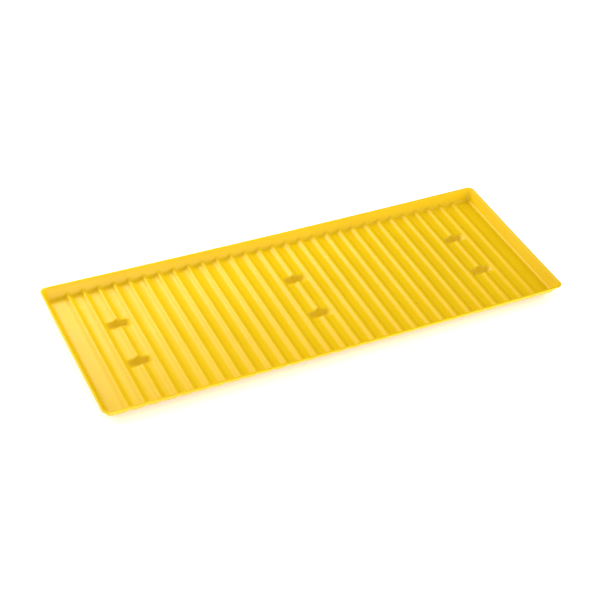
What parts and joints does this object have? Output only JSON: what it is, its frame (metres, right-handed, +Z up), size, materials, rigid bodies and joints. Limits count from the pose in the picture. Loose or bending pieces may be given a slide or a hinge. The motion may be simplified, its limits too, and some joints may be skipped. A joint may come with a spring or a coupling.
{
  "type": "spill containment tray",
  "caption": "Long shallow spill containment tray formed from one plastic sheet, with drafted walls, a narrow rim lip, a ribbed floor and foot pockets pressed into it.",
  "frame": {"origin": "on the surface that the feet stand on, under the centre of the tray", "axes": "+X along the tray's length, +Y from the front wall to the back wall along the ribs, +Z up out of the open side"},
  "size_m": [2.44, 0.88, 0.084],
  "materials": {
    "yellow_sheet": "satin, lightly grained polyethylene sheet"
  },
  "bodies": {
    "root": {"spill_tray": "yellow_sheet"}
  },
  "joints": []
}
